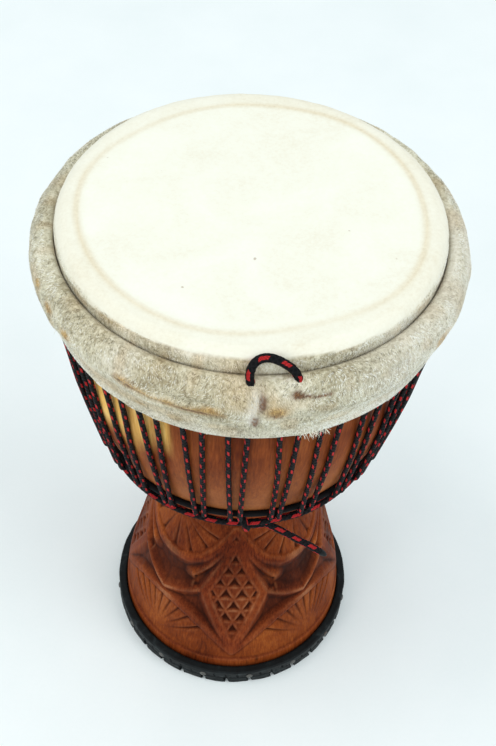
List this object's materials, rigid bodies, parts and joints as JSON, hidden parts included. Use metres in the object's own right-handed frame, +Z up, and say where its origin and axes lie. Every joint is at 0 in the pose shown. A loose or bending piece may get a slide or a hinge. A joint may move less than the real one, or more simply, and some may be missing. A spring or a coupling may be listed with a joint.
{
  "type": "djembe",
  "caption": "Goblet hand drum: carved hollow wooden shell, goatskin head with a hair collar, rope lacing between rings, rope carry loop, tyre strip around the foot.",
  "frame": {"origin": "on the drum's axis, at the surface that it stands on", "axes": "+Z up along the drum's axis; -Y towards the carry loop and the waist knot; +X to the right of that side"},
  "size_m": [0.3596, 0.3596, 0.5925],
  "materials": {
    "shell_wood": "oiled, stained red-brown",
    "goatskin": "shaved playing skin, short hair on the collar",
    "ring_steel": "mill finish rod",
    "braided_rope": "braided, black with red flecks",
    "black_cloth": "wound cloth",
    "sealed_tip": "melted rope end",
    "tyre_rubber": "used tyre tread",
    "tack_steel": "worn zinc"
  },
  "bodies": {
    "drum": {"shell": "shell_wood", "goatskin_head": "goatskin", "flesh_ring": "ring_steel", "crown_ring": "ring_steel", "crown_hitches": "braided_rope", "lacing_rope": "braided_rope", "bottom_ring": "ring_steel", "bottom_ring_wrap": "black_cloth", "waist_rope": "braided_rope", "waist_knot": "braided_rope", "rope_tail": "braided_rope", "tail_tip": "sealed_tip", "loop_anchors": "braided_rope", "foot_tyre": "tyre_rubber", "tyre_tacks": "tack_steel"},
    "carry_loop": {"carry_loop": "braided_rope"}
  },
  "joints": [
    {"name": "carry_loop_swing", "type": "hinge", "parent": "drum", "child": "carry_loop", "pos_m": [0.02369, -0.16857, 0.56504], "axis": [0.9903, 0.1392, 0], "range_deg": [0, 108]}
  ]
}
